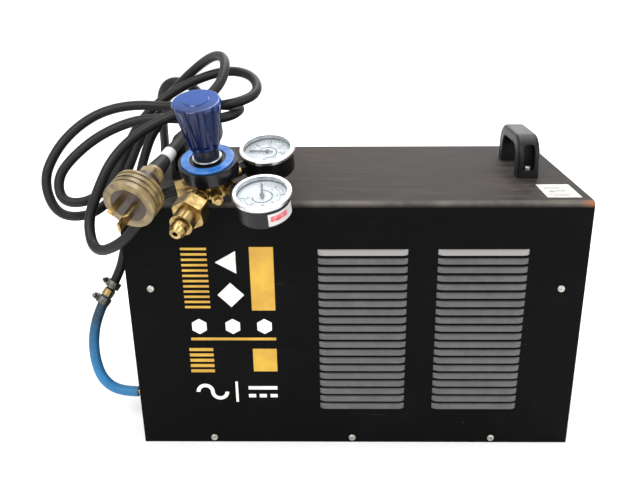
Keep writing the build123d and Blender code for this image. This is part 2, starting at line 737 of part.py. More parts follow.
def make_parts():
    parts = {
        "top_cover": make_top_cover(),
        "base_pan": make_base_pan(),
        "control_panel": make_control_panel(),
        "rear_panel": make_rear_panel(),
        "cover_screws": make_cover_screws(),
        "left_handle": make_handle(-handle_x),
        "right_handle": make_handle(handle_x),
        "handle_screws": make_handle_screws(),
        "transformer_core": make_transformer_core(),
        "transformer_winding": make_transformer_winding(),
        "output_choke": make_output_choke(),
        "heatsinks": make_heatsinks(),
        "circuit_boards": make_circuit_boards(),
        "capacitors": make_capacitors(),
        "spark_coil": make_spark_coil(),
        "potentiometers": make_potentiometers(),
        "switch_bodies": make_switch_bodies(),
        "weld_sockets": make_weld_sockets(),
        "gas_outlet": make_gas_outlet(),
        "torch_control_socket": make_torch_control_socket(),
        "display_window": make_display_window(),
        "indicator_lamps": make_indicator_lamps(),
        "fan_frame": make_fan_frame(),
        "fan_rotor": make_fan_rotor(),
        "fan_guard": make_fan_guard(),
        "fan_screws": make_fan_screws(),
        "gas_inlet_barb": make_gas_inlet_barb(),
        "gas_valve": make_gas_valve(),
        "inner_gas_tube": make_inner_gas_tube(),
        "mains_switch_body": make_mains_switch_body(),
        "mains_switch_rocker": make_mains_switch_rocker(),
        "cable_gland": make_cable_gland(),
        "regulator_body": make_regulator_body(),
        "regulator_bonnet": make_regulator_bonnet(),
        "bonnet_ring": make_bonnet_ring(),
        "pressure_knob": make_pressure_knob(),
        "adjusting_screw": make_adjusting_screw(),
        "inlet_stem": make_inlet_stem(),
        "inlet_nut": make_inlet_nut(),
        "relief_valve": make_relief_valve(),
        "hose_outlet": make_hose_outlet(),
        "gauge_cases": make_gauge_cases(),
        "gauge_bezels": make_gauge_bezels(),
        "front_needle": make_needle(0, 97),
        "rear_needle": make_needle(1, 174),
        "plug_body": make_plug_body(),
        "plug_ring": make_plug_ring(),
        "plug_pins": make_plug_pins(),
        "plug_gland": make_plug_gland(),
        "power_cable": cord_tube("power_cable", cable_route, cable_diameter),
        "blue_gas_hose": cord_tube("blue_gas_hose", blue_hose_route, blue_hose_diameter),
        "black_gas_hose": cord_tube("black_gas_hose", black_hose_route, hose_diameter),
        "hose_joiner": make_hose_joiner(),
        "hose_clamps": make_hose_clamps(),
    }
    for name in knob_places:
        parts[name] = make_knob(name)
    for name, y in switch_places.items():
        parts[name] = make_switch_lever(y)
    return parts


def main():
    os.makedirs("parts", exist_ok=True)
    for name, shape in make_parts().items():
        export_step(shape, f"parts/{name}.step")


main()
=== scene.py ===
import math

import bmesh
import bpy
from mathutils import Matrix, Vector


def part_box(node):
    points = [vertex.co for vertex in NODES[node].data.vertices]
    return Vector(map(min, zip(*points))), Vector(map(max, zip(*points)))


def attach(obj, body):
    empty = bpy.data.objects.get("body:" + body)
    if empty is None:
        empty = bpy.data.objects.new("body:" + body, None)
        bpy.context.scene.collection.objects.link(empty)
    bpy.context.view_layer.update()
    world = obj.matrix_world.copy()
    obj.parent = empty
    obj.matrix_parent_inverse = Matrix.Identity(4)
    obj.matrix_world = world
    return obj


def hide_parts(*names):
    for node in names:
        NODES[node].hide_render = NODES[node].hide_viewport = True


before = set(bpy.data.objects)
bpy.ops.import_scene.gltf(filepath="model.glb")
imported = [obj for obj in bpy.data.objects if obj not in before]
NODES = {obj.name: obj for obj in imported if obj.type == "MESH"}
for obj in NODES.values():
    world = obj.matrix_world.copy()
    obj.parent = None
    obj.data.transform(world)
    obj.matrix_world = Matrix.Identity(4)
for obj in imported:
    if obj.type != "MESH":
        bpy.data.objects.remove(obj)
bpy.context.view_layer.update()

bl_info = {
    "name": "TIG welding machine",
    "version": (1, 0, 0),
    "blender": (4, 5, 0),
    "location": "3D View > Sidebar > Welder",
    "description": "Builds the finish, hoods, dials, marks and cords of a portable TIG welding machine",
    "category": "Add Mesh",
}

MM = 0.001
MACHINE = "machine"


# ------------------------------------------------------------------ places

SHELL_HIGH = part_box("top_cover")[1]
HALF_WIDTH = SHELL_HIGH.y
TOP_Z = SHELL_HIGH.z
PANEL_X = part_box("control_panel")[1].x
KNOB_TOP_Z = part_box("pressure_knob")[1].z

# The middles of the two louvre columns, their lowest row and the step between rows, in mm.
LOUVRE_XS = (8.0, 132.0)
LOUVRE_LOW_Z = 46.0
LOUVRE_PITCH = 9.65
LOUVRE_COUNT = 20

# Where the regulator and the plug lie, in metres.
REGULATOR = (Matrix.Translation((-0.146, -0.115, 0.3042))
             @ Matrix.Rotation(math.radians(20), 4, "X")
             @ Matrix.Rotation(math.radians(-2), 4, "Y"))
PLUG = (Matrix.Translation((-0.206, -0.180, 0.305))
        @ Matrix.Rotation(math.radians(111), 4, "X")
        @ Matrix.Rotation(math.radians(-14), 4, "Y"))

# Each gauge's middle in the regulator's plane in mm, and the angle in degrees where its needle
# rests. The other dial values are in degrees and mm too.
GAUGES = {"front": (56.0, -38.0, 97.0), "rear": (54.0, 40.0, 174.0)}
DIAL_SWEEP = 270.0
DIAL_RADIUS = 25.2
DIAL_HEIGHTS = (5.05, 5.45)
INK_HEIGHTS = (5.4, 5.56)
GAUGE_CUP_RADIUS = 27.55

# The label by the control end of the top, and the thickness of the print on it in mm.
TOP_LABEL = Matrix.Translation((0.2135, -0.093, TOP_Z))
PRINT_THICKNESS = 0.1

CAMERA_PLACE = (-0.0066, -0.7939, 0.4871)
CAMERA_FORWARD = (-0.0129, 0.9393, -0.3428)
CAMERA_ROLL_DEGREES = -0.344
CAMERA_LENS = 38.79
CAMERA_SHIFT_X = -0.031

# Name, place, size in metres and power in watts.
LIGHTS = (
    ("key", (-0.9, -1.6, 1.9), 1.2, 34.0),
    ("fill", (1.5, -1.3, 1.2), 1.2, 14.0),
    ("overhead", (0.1, 0.6, 2.2), 1.4, 34.0),
    ("back", (0.4, 2.0, 1.4), 1.4, 14.0),
)
LIGHT_TARGET = (0, 0, 0.2)

# The floor runs flat, then curves up: (Y, Z) in metres, over this width.
BACKDROP = ((-4.0, 0), (2.0, 0), (3.2, 0.12), (4.2, 0.5), (4.9, 1.2), (5.2, 2.2), (5.2, 5.0))
BACKDROP_WIDTH = 12
FLOOR_DROP = 0.0005

# The cords' routes in mm, from the lower end of each to its upper end.
CABLE_ROUTE = [
    (-262, 92, 62), (-298, 93, 66), (-320, 106, 92), (-316, 132, 130), (-298, 152, 172),
    (-276, 162, 220), (-264, 158, 272), (-258, 136, 322), (-250, 110, 360), (-234, 98, 378),
    (-208, 96, 374), (-188, 92, 352), (-172, 70, 330), (-164, 32, 318), (-168, -8, 324),
    (-176, -44, 338), (-181, -72, 342), (-184, -98, 336), (-190, -118, 329),
    (-195.8, -142, 319.6),
]
BLUE_HOSE_ROUTE = [
    (-252, -100, 46), (-274, -100, 46), (-294, -97, 60), (-302, -91, 86), (-303, -82, 112),
    (-297, -72, 136), (-289, -63, 152),
]
BLACK_HOSE_ROUTE = [
    (-285, -60, 158), (-274, -52, 177), (-266, -50, 205), (-260, -36, 232), (-257, -12, 262),
    (-255, 20, 294), (-242, 34, 330), (-206, 30, 358), (-162, 22, 359), (-126, 2, 360),
    (-140, -26, 352), (-177, -30, 351), (-212, -24, 352), (-248, -22, 349), (-284, -28, 335),
    (-313, -38, 314), (-333, -48, 290), (-328, -58, 264), (-300, -54, 262), (-280, -30, 276),
    (-272, -2, 300), (-260, 26, 334), (-236, 46, 360), (-194, 50, 384), (-150, 46, 397),
    (-118, 30, 392), (-108, 0, 376), (-132, -22, 367), (-172, -12, 362), (-215, 4, 360),
    (-254, 8, 362), (-289, 2, 356), (-318, -8, 340), (-342, -20, 315), (-356, -34, 282),
    (-342, -44, 244), (-308, -38, 240), (-286, -14, 254), (-274, 16, 280), (-268, 48, 308),
    (-250, 72, 340), (-220, 74, 374), (-186, 62, 402), (-160, 34, 416), (-144, 4, 412),
    (-146, -28, 388), (-172, -52, 368), (-209, -58, 355), (-237, -70, 339), (-257, -86, 318),
    (-270, -98, 290), (-282, -108, 257), (-270, -130, 230), (-236, -146, 246), (-212, -151, 272),
    (-199, -135, 295), (-180, -128, 298),
]


# ------------------------------------------------------------------ user settings

def srgb(hex_code):
    """An sRGB hex colour as a linear RGBA colour."""
    channels = [int(hex_code[i:i + 2], 16) / 255 for i in (1, 3, 5)]
    linear = [c / 12.92 if c <= 0.04045 else ((c + 0.055) / 1.055) ** 2.4 for c in channels]
    return (*linear, 1.0)


class WelderSizes(bpy.types.PropertyGroup):
    """Sizes of the added pieces."""

    hood_reach: bpy.props.FloatProperty(
        name="Hood reach", description="How far a louvre hood stands off the case",
        default=3.3 * MM, unit="LENGTH")
    hood_length: bpy.props.FloatProperty(
        name="Hood length", description="Length of a louvre hood",
        default=93.0 * MM, unit="LENGTH")
    cable_diameter: bpy.props.FloatProperty(
        name="Cable diameter", description="Outer diameter of the mains cable",
        default=12.0 * MM, unit="LENGTH")
    hose_diameter: bpy.props.FloatProperty(
        name="Hose diameter", description="Outer diameter of the black gas hose",
        default=11.0 * MM, unit="LENGTH")
    blue_hose_diameter: bpy.props.FloatProperty(
        name="Blue hose diameter", description="Outer diameter of the blue gas hose",
        default=12.0 * MM, unit="LENGTH")
    film: bpy.props.FloatProperty(
        name="Film thickness", description="Thickness of the marking film and labels",
        default=0.25 * MM, unit="LENGTH")


def colour_setting(name, description, hex_code):
    return bpy.props.FloatVectorProperty(
        name=name, description=description, subtype="COLOR", size=3, min=0, max=1,
        default=srgb(hex_code)[:3])


class WelderColours(bpy.types.PropertyGroup):
    """Colours a user would change."""

    case: colour_setting("Case", "Powder coat of the case", "#050506")
    dust: colour_setting("Dust", "Dust lying on the top", "#443f3c")
    # The knob colour is its top face's colour, with painted light from above in it.
    knob: colour_setting("Knob", "Nylon at the top of the pressure knob", "#093a80")
    stripe: colour_setting("Stripes", "Gold marking film", "#c39a2a")
    mark: colour_setting("Marks", "White marking film", "#e8e8e4")
    blue_hose: colour_setting("Blue hose", "Lower gas hose", "#2a6f9e")


def sizes():
    return bpy.context.scene.welder_sizes


def chosen(name):
    return (*getattr(bpy.context.scene.welder_colours, name), 1.0)


# ------------------------------------------------------------------ materials

def add(tree, kind, settings=None, links=None):
    """Add a node; settings and links name its sockets, or its properties where no socket fits."""
    node = tree.nodes.new(kind)
    for key, value in (settings or {}).items():
        if isinstance(key, int) or key in node.inputs:
            node.inputs[key].default_value = value
        else:
            setattr(node, key, value)
    for key, source in (links or {}).items():
        tree.links.new(source, node.inputs[key])
    return node


def new_material(name, **shader):
    """An empty material with a Principled shader, whose constants sit on its own sockets."""
    material = bpy.data.materials.new(name)
    material.use_nodes = True
    tree = material.node_tree
    bsdf = tree.nodes["Principled BSDF"]
    for key, value in shader.items():
        bsdf.inputs[key.replace("_", " ")].default_value = value
    return material, tree, bsdf


def grained(name, base, second, roughness, grain, patch, bump, spread=0.08, **shader):
    """A finish with a fine grain in its surface and slow patches in its colour and gloss.

    grain and patch are the real sizes of the two patterns in mm, and bump is the grain's height.
    """
    material, tree, bsdf = new_material(name, Roughness=roughness, **shader)
    where = add(tree, "ShaderNodeTexCoord").outputs["Object"]
    fine = add(tree, "ShaderNodeTexNoise", {"Scale": 1000 / grain, "Detail": 3.0}, {"Vector": where})
    slow = add(tree, "ShaderNodeTexNoise", {"Scale": 1000 / patch, "Detail": 5.0}, {"Vector": where})
    part = add(tree, "ShaderNodeMapRange", {"From Min": 0.35, "From Max": 0.68}, {"Value": slow.outputs[0]})
    mix = add(tree, "ShaderNodeMix", {"data_type": "RGBA", 6: base, 7: second},
              {0: part.outputs[0]})
    gloss = add(tree, "ShaderNodeMapRange",
                {"To Min": max(roughness - spread, 0.02), "To Max": min(roughness + spread, 1.0)},
                {"Value": slow.outputs[0]})
    height = add(tree, "ShaderNodeBump", {"Strength": 1.0, "Distance": bump * MM},
                 {"Height": fine.outputs[0]})
    tree.links.new(mix.outputs[2], bsdf.inputs["Base Color"])
    tree.links.new(gloss.outputs[0], bsdf.inputs["Roughness"])
    tree.links.new(height.outputs[0], bsdf.inputs["Normal"])
    return material


def powder_coated_case():
    """Semi-matt black powder coat: orange peel, grey rubbed patches, dust on top, a painted highlight along
    the front bend.
    """
    material, tree, bsdf = new_material("powder_coat_steel", Roughness=0.42, Specular_IOR_Level=0.05)
    where = add(tree, "ShaderNodeTexCoord").outputs["Object"]
    axis = add(tree, "ShaderNodeSeparateXYZ", {}, {"Vector": where})
    peel = add(tree, "ShaderNodeTexNoise", {"Scale": 1000 / 1.6, "Detail": 2.0}, {"Vector": where})
    cloud = add(tree, "ShaderNodeTexNoise", {"Scale": 1000 / 70, "Detail": 8.0, "Roughness": 0.65},
                {"Vector": where})
    speck = add(tree, "ShaderNodeTexNoise", {"Scale": 1000 / 3.2, "Detail": 4.0, "Roughness": 0.7},
                {"Vector": where})
    streak_map = add(tree, "ShaderNodeMapping",
                     {"Scale": (9.0, 40.0, 260.0), "Rotation": (0.0, 0.35, 0.2)}, {"Vector": where})
    streak = add(tree, "ShaderNodeTexNoise", {"Scale": 1.0, "Detail": 6.0, "Roughness": 0.75},
                 {"Vector": streak_map.outputs[0]})
    rubbed = add(tree, "ShaderNodeMapRange", {"From Min": 0.5, "From Max": 0.78, "To Max": 0.55},
                 {"Value": cloud.outputs[0]})
    coat = add(tree, "ShaderNodeMix", {"data_type": "RGBA", 6: chosen("case"), 7: srgb("#111112")},
               {0: rubbed.outputs[0]})
    scratched = add(tree, "ShaderNodeMapRange", {"From Min": 0.66, "From Max": 0.74, "To Max": 0.3},
                    {"Value": streak.outputs[0]})
    coat = add(tree, "ShaderNodeMix", {"data_type": "RGBA", 7: srgb("#4c4b4a")},
               {0: scratched.outputs[0], 6: coat.outputs[2]})
    # Dust lies on the flat top and thins out below its edge.
    level = add(tree, "ShaderNodeMapRange",
                {"From Min": TOP_Z - 4 * MM, "From Max": TOP_Z - 0.4 * MM, "To Max": 0.9},
                {"Value": axis.outputs["Z"]})
    smear_map = add(tree, "ShaderNodeMapping",
                    {"Scale": (14.0, 90.0, 60.0), "Rotation": (0.0, 0.0, 0.5)}, {"Vector": where})
    smear = add(tree, "ShaderNodeTexNoise", {"Scale": 1.0, "Detail": 8.0, "Roughness": 0.72},
                {"Vector": smear_map.outputs[0]})
    both = add(tree, "ShaderNodeMath", {"operation": "ADD"}, {0: cloud.outputs[0], 1: smear.outputs[0]})
    cover = add(tree, "ShaderNodeMapRange", {"From Min": 0.88, "From Max": 1.12, "To Min": 0.35},
                {"Value": both.outputs[0]})
    dust = add(tree, "ShaderNodeMath", {"operation": "MULTIPLY"},
               {0: level.outputs[0], 1: cover.outputs[0]})
    coat = add(tree, "ShaderNodeMix", {"data_type": "RGBA", 7: chosen("dust")},
               {0: dust.outputs[0], 6: coat.outputs[2]})
    # A painted highlight lies along the front bend, pale grey in soft patches.
    front = add(tree, "ShaderNodeMapRange",
                {"From Min": -HALF_WIDTH + 7 * MM, "From Max": -HALF_WIDTH + 1.5 * MM},
                {"Value": axis.outputs["Y"]})
    high = add(tree, "ShaderNodeMapRange",
               {"From Min": TOP_Z - 6.5 * MM, "From Max": TOP_Z - 1.5 * MM},
               {"Value": axis.outputs["Z"]})
    bend = add(tree, "ShaderNodeMath", {"operation": "MULTIPLY"},
               {0: front.outputs[0], 1: high.outputs[0]})
    bend_highlight_patches = add(tree, "ShaderNodeMapRange",
                 {"From Min": 0.3, "From Max": 0.62, "To Min": 0.12, "To Max": 0.5},
                 {"Value": cloud.outputs[0]})
    # Strength of the painted highlight along the front bend.
    bend_highlight = add(tree, "ShaderNodeMath", {"operation": "MULTIPLY"},
               {0: bend.outputs[0], 1: bend_highlight_patches.outputs[0]})
    # Painted highlight: pale grey mixed in along the front bend.
    coat = add(tree, "ShaderNodeMix", {"data_type": "RGBA", 7: srgb("#8b857f")},
               {0: bend_highlight.outputs[0], 6: coat.outputs[2]})
    # Bare rusted metal at the control end of the bend.
    end = add(tree, "ShaderNodeMapRange",
              {"From Min": SHELL_HIGH.x - 16 * MM, "From Max": SHELL_HIGH.x - 3 * MM},
              {"Value": axis.outputs["X"]})
    rust = add(tree, "ShaderNodeMath", {"operation": "MULTIPLY"},
               {0: end.outputs[0], 1: bend.outputs[0]})
    coat = add(tree, "ShaderNodeMix", {"data_type": "RGBA", 7: srgb("#8a5a38")},
               {0: rust.outputs[0], 6: coat.outputs[2]})
    # Small pale nicks, thinly scattered over the sides.
    nick = add(tree, "ShaderNodeMapRange", {"From Min": 0.735, "From Max": 0.75, "To Max": 0.8},
               {"Value": speck.outputs[0]})
    coat = add(tree, "ShaderNodeMix", {"data_type": "RGBA", 7: srgb("#9a9692")},
               {0: nick.outputs[0], 6: coat.outputs[2]})
    gloss = add(tree, "ShaderNodeMapRange", {"To Min": 0.34, "To Max": 0.56}, {"Value": cloud.outputs[0]})
    gloss = add(tree, "ShaderNodeMath", {"operation": "MULTIPLY_ADD", 1: 0.3},
                {0: dust.outputs[0], 2: gloss.outputs[0]})
    height = add(tree, "ShaderNodeBump", {"Strength": 0.5, "Distance": 0.05 * MM},
                 {"Height": peel.outputs[0]})
    tree.links.new(coat.outputs[2], bsdf.inputs["Base Color"])
    tree.links.new(gloss.outputs[0], bsdf.inputs["Roughness"])
    tree.links.new(height.outputs[0], bsdf.inputs["Normal"])
    return material


def hood_coat_with_painted_highlights():
    """The coat on the pressed hoods: a painted grey highlight on their shoulders, and a paler painted
    highlight on the topmost pair, where the light from above falls.
    """
    material, tree, bsdf = new_material("powder_coat_hood", Roughness=0.38, Specular_IOR_Level=0.4)
    where = add(tree, "ShaderNodeTexCoord").outputs["Object"]
    axis = add(tree, "ShaderNodeSeparateXYZ", {}, {"Vector": where})
    slow = add(tree, "ShaderNodeTexNoise", {"Scale": 1000 / 16, "Detail": 6.0, "Roughness": 0.7},
               {"Vector": where})
    peel = add(tree, "ShaderNodeTexNoise", {"Scale": 1000 / 1.6, "Detail": 2.0}, {"Vector": where})
    # Painted highlight: the black coat drawn grey in slow patches where the hoods catch the light.
    grey = add(tree, "ShaderNodeMix", {"data_type": "RGBA", 6: srgb("#3a3a3b"), 7: srgb("#5e5c5b")},
               {0: slow.outputs[0]})
    # Painted light from above: the topmost pair drawn palest.
    top_row = (LOUVRE_LOW_Z + LOUVRE_PITCH * (LOUVRE_COUNT - 1)) * MM
    high = add(tree, "ShaderNodeMapRange",
               {"From Min": top_row - 2 * MM, "From Max": top_row, "To Max": 0.8},
               {"Value": axis.outputs["Z"]})
    grey = add(tree, "ShaderNodeMix", {"data_type": "RGBA", 7: srgb("#8f8c8a")},
               {0: high.outputs[0], 6: grey.outputs[2]})
    height = add(tree, "ShaderNodeBump", {"Strength": 0.5, "Distance": 0.05 * MM},
                 {"Height": peel.outputs[0]})
    tree.links.new(grey.outputs[2], bsdf.inputs["Base Color"])
    tree.links.new(height.outputs[0], bsdf.inputs["Normal"])
    return material


def rubber_with_dirt_and_height_tone(name, base, dirt, upper_colour, low_z, high_z, gloss=0.5):
    """Extruded rubber: fine ribs of the die, scuffs, and an upper colour that takes over between two
    heights.
    """
    material, tree, bsdf = new_material(name, Roughness=gloss, Specular_IOR_Level=0.25)
    where = add(tree, "ShaderNodeTexCoord").outputs["Object"]
    axis = add(tree, "ShaderNodeSeparateXYZ", {}, {"Vector": where})
    fine = add(tree, "ShaderNodeTexNoise", {"Scale": 1000 / 1.2, "Detail": 3.0}, {"Vector": where})
    slow = add(tree, "ShaderNodeTexNoise", {"Scale": 1000 / 18, "Detail": 7.0, "Roughness": 0.7},
               {"Vector": where})
    scuff = add(tree, "ShaderNodeMapRange", {"From Min": 0.5, "From Max": 0.75, "To Max": 0.5},
                {"Value": slow.outputs[0]})
    mix = add(tree, "ShaderNodeMix", {"data_type": "RGBA", 6: base, 7: dirt}, {0: scuff.outputs[0]})
    # Between low_z and high_z the upper colour takes over; on the black cords it is partly a painted
    # highlight.
    band = add(tree, "ShaderNodeMapRange", {"From Min": low_z, "From Max": high_z},
               {"Value": axis.outputs["Z"]})
    patch = add(tree, "ShaderNodeMapRange", {"From Min": 0.3, "From Max": 0.6, "To Min": 0.6},
                {"Value": slow.outputs[0]})
    upper_mask = add(tree, "ShaderNodeMath", {"operation": "MULTIPLY"},
                {0: band.outputs[0], 1: patch.outputs[0]})
    mix = add(tree, "ShaderNodeMix", {"data_type": "RGBA", 7: upper_colour},
              {0: upper_mask.outputs[0], 6: mix.outputs[2]})
    height = add(tree, "ShaderNodeBump", {"Strength": 0.6, "Distance": 0.08 * MM},
                 {"Height": fine.outputs[0]})
    tree.links.new(mix.outputs[2], bsdf.inputs["Base Color"])
    tree.links.new(height.outputs[0], bsdf.inputs["Normal"])
    return material


def knob_nylon(blue):
    """Translucent blue nylon: near black in painted shade down the ribbed skirt, and bluer in painted light
    from above at its top face.
    """
    material, tree, bsdf = new_material("translucent_blue_nylon", Roughness=0.16, Specular_IOR_Level=0.35,
                                       Coat_Weight=0.15)
    where = add(tree, "ShaderNodeTexCoord").outputs["Object"]
    axis = add(tree, "ShaderNodeSeparateXYZ", {}, {"Vector": where})
    slow = add(tree, "ShaderNodeTexNoise", {"Scale": 1000 / 16, "Detail": 5.0}, {"Vector": where})
    fine = add(tree, "ShaderNodeTexNoise", {"Scale": 1000 / 1.2, "Detail": 3.0}, {"Vector": where})
    # Painted light: the top face turns to the knob colour, as if lit from above.
    lit_top = add(tree, "ShaderNodeMapRange",
               {"From Min": KNOB_TOP_Z - 17 * MM, "From Max": KNOB_TOP_Z - 7 * MM},
               {"Value": axis.outputs["Z"]})
    # Painted shade: the lower knob near black, in slow patches.
    depth = add(tree, "ShaderNodeMix", {"data_type": "RGBA", 6: srgb("#030b26"), 7: srgb("#051a4c")},
                {0: slow.outputs[0]})
    mix = add(tree, "ShaderNodeMix", {"data_type": "RGBA", 7: blue},
              {0: lit_top.outputs[0], 6: depth.outputs[2]})
    height = add(tree, "ShaderNodeBump", {"Strength": 1.0, "Distance": 0.04 * MM},
                 {"Height": fine.outputs[0]})
    tree.links.new(mix.outputs[2], bsdf.inputs["Base Color"])
    tree.links.new(height.outputs[0], bsdf.inputs["Normal"])
    return material


def laminated_core():
    """Stacked transformer steel: thin edge-on sheets under varnish."""
    material, tree, bsdf = new_material("varnished_laminations", Roughness=0.45, Metallic=0.85)
    where = add(tree, "ShaderNodeTexCoord").outputs["Object"]
    sheets = add(tree, "ShaderNodeTexWave", {"Scale": 1000 / 9, "Distortion": 0.3}, {"Vector": where})
    mix = add(tree, "ShaderNodeMix", {"data_type": "RGBA", 6: srgb("#4a4643"), 7: srgb("#7b7772")},
              {0: sheets.outputs[0]})
    height = add(tree, "ShaderNodeBump", {"Strength": 0.5, "Distance": 0.2 * MM},
                 {"Height": sheets.outputs[0]})
    tree.links.new(mix.outputs[2], bsdf.inputs["Base Color"])
    tree.links.new(height.outputs[0], bsdf.inputs["Normal"])
    return material


def stock():
    """Every finish on the machine. Patterns under about 0.5 mm are drawn coarser, so that they show."""
    return {
        # Powder-coated steel sheet: soft sheen, orange peel.
        "case": powder_coated_case(),
        # The same coat on the pressed hoods, which catch the light: their highlights are painted in grey,
        # palest on the topmost pair.
        "hood": hood_coat_with_painted_highlights(),
        # Nylon, moulded: fine spark-eroded grain, broad soft highlights.
        "nylon": grained("moulded_black_nylon", srgb("#0c0c0e"), srgb("#161618"), 0.42, 0.9, 25, 0.06,
                         Specular_IOR_Level=0.22),
        # Zinc-plated steel: bright grey with a faint warm cast and dull spots.
        "zinc": grained("zinc_plated_steel", srgb("#c9c8c2"), srgb("#97948c"), 0.34, 0.7, 4, 0.02,
                        Metallic=1.0),
        # The same plating under old grease: grey-brown and dull.
        "dull_zinc": grained("greasy_zinc_steel", srgb("#77746d"), srgb("#3f3c37"), 0.42, 0.7, 5, 0.03,
                             Metallic=1.0),
        "core": laminated_core(),
        # Enamelled copper wire: warm, lacquered.
        "copper": grained("enamelled_copper", srgb("#b0622f"), srgb("#8a431f"), 0.3, 1.8, 9, 0.12,
                          Metallic=0.9),
        # Extruded aluminium: pale, drawn lines, satin.
        "alloy": grained("extruded_aluminium", srgb("#d0d2d4"), srgb("#b3b6b8"), 0.36, 0.8, 20, 0.03,
                         Metallic=1.0),
        # Glass-epoxy board with solder resist.
        "board": grained("solder_resist_board", srgb("#14532b"), srgb("#0d3f20"), 0.35, 2.5, 12, 0.05),
        # Bright zinc wire with a chrome-like film.
        "wire": grained("bright_plated_wire", srgb("#d6d6d2"), srgb("#a6a6a0"), 0.22, 0.8, 8, 0.02,
                        Metallic=1.0),
        # Machined brass, handled and darkened: gold with brown spots.
        "brass": grained("tarnished_brass", srgb("#b59c68"), srgb("#7d6742"), 0.3, 0.9, 7, 0.04,
                         spread=0.12, Metallic=1.0),
        # Silicone tube: milky.
        "silicone": grained("silicone_tube", srgb("#cfd4d6"), srgb("#b9c0c4"), 0.4, 1.0, 15, 0.02,
                            Subsurface_Weight=0.2),
        # Smoked acrylic window, polished.
        "smoked": grained("smoked_acrylic", srgb("#1a0606"), srgb("#220a0a"), 0.08, 2.0, 30, 0.005,
                          spread=0.02),
        # Tinted polycarbonate lamp lens.
        "lamp": grained("amber_lamp_lens", srgb("#d98a1e"), srgb("#c97812"), 0.15, 1.0, 6, 0.01,
                        Subsurface_Weight=0.3),
        # Lacquered die casting: deep black, slightly wavy gloss.
        "lacquer": grained("black_lacquer", srgb("#0a0a0c"), srgb("#131316"), 0.26, 2.2, 14, 0.04,
                           Specular_IOR_Level=0.3, Coat_Weight=0.1),
        # Blue translucent nylon, moulded: near black in painted shade on its ribs, bluer in painted light
        # at its top.
        "blue": knob_nylon(chosen("knob")),
        # Paler blue nylon in the flat ring, thin and lit from above.
        "blue_ring": grained("blue_nylon_ring", srgb("#1d5ba6"), srgb("#3f78b8"), 0.2, 1.2, 10, 0.04,
                             Coat_Weight=0.3),
        # Stove enamel on the gauge cups.
        "enamel": grained("black_stove_enamel", srgb("#0a0a0c"), srgb("#131316"), 0.3, 1.8, 12, 0.03,
                          Specular_IOR_Level=0.3),
        # Satin nickel on the gauge rims: pale and even.
        "nickel": grained("satin_nickel", srgb("#d9dadd"), srgb("#b9babd"), 0.28, 0.8, 9, 0.02,
                          Metallic=1.0),
        # Matt black pointer paint.
        "pointer": grained("matt_black_paint", srgb("#121212"), srgb("#1a1a1a"), 0.5, 0.8, 5, 0.02),
        # Aged thermoset: brown amber, slightly see-through, dirt in its grooves.
        "amber": grained("aged_amber_resin", srgb("#86744c"), srgb("#4f4029"), 0.34, 1.4, 9, 0.08,
                         Subsurface_Weight=0.08, Subsurface_Radius=(0.003, 0.002, 0.001)),
        # Dark contact block, moulded.
        "bakelite": grained("dark_bakelite", srgb("#2a1c14"), srgb("#3b291d"), 0.38, 1.2, 8, 0.05),
        # Rubber cable sheath and hoses. The black cords turn lighter and browner towards the top: dust, and
        # partly a painted highlight from above.
        "sheath": rubber_with_dirt_and_height_tone("rubber_sheath", srgb("#0e0e0f"), srgb("#25221f"), srgb("#161513"),
                                   0.1, 0.4),
        "hose": rubber_with_dirt_and_height_tone("black_hose_rubber", srgb("#101011"), srgb("#2e2a26"), srgb("#1b1917"),
                                 0.15, 0.42, 0.45),
        # The blue hose turns darker and greyer from 75 mm up, so its lower end stays brighter.
        "blue_hose": rubber_with_dirt_and_height_tone("blue_hose_rubber", chosen("blue_hose"), srgb("#1d5884"),
                                      srgb("#26343a"), 0.075, 0.135, 0.4),
        # Cut vinyl film: flat colour, dull gloss, edge dirt.
        "gold_film": grained("gold_vinyl_film", chosen("stripe"), srgb("#a97d22"), 0.35, 2.0, 30, 0.01),
        "white_film": grained("white_vinyl_film", chosen("mark"), srgb("#c4c2bb"), 0.4, 2.0, 18, 0.01),
        # Coated paper label, slightly soiled.
        "paper": grained("coated_paper", srgb("#c9c9c7"), srgb("#b4b2ad"), 0.6, 0.9, 12, 0.02),
        # Print on the labels, faded and patchy.
        "grey_print": grained("faded_grey_print", srgb("#6b6a68"), srgb("#9a9896"), 0.6, 0.9, 3, 0.01),
        "pink_label": grained("faded_red_print", srgb("#b8323f"), srgb("#d58b93"), 0.5, 1.5, 4, 0.01),
        # Printed gauge dial: cool white card with screen-printed marks.
        "dial": grained("white_dial_card", srgb("#aeb8be"), srgb("#a1abb1"), 0.5, 0.9, 20, 0.01),
        "ink": grained("black_screen_ink", srgb("#2a2c2e"), srgb("#3a3c3e"), 0.5, 0.9, 6, 0.01),
        "green_ink": grained("green_screen_ink", srgb("#3f9a6a"), srgb("#57a97c"), 0.5, 0.9, 6, 0.01),
        "red_ink": grained("red_screen_ink", srgb("#c44848"), srgb("#b33c3c"), 0.5, 0.9, 6, 0.01),
        # Float glass lens: nearly clear, reflects the lights.
        "glass": grained("gauge_glass", srgb("#ffffff"), srgb("#f4f8f8"), 0.04, 4.0, 30, 0.002,
                         spread=0.01, Alpha=0.05, IOR=1.5),
    }


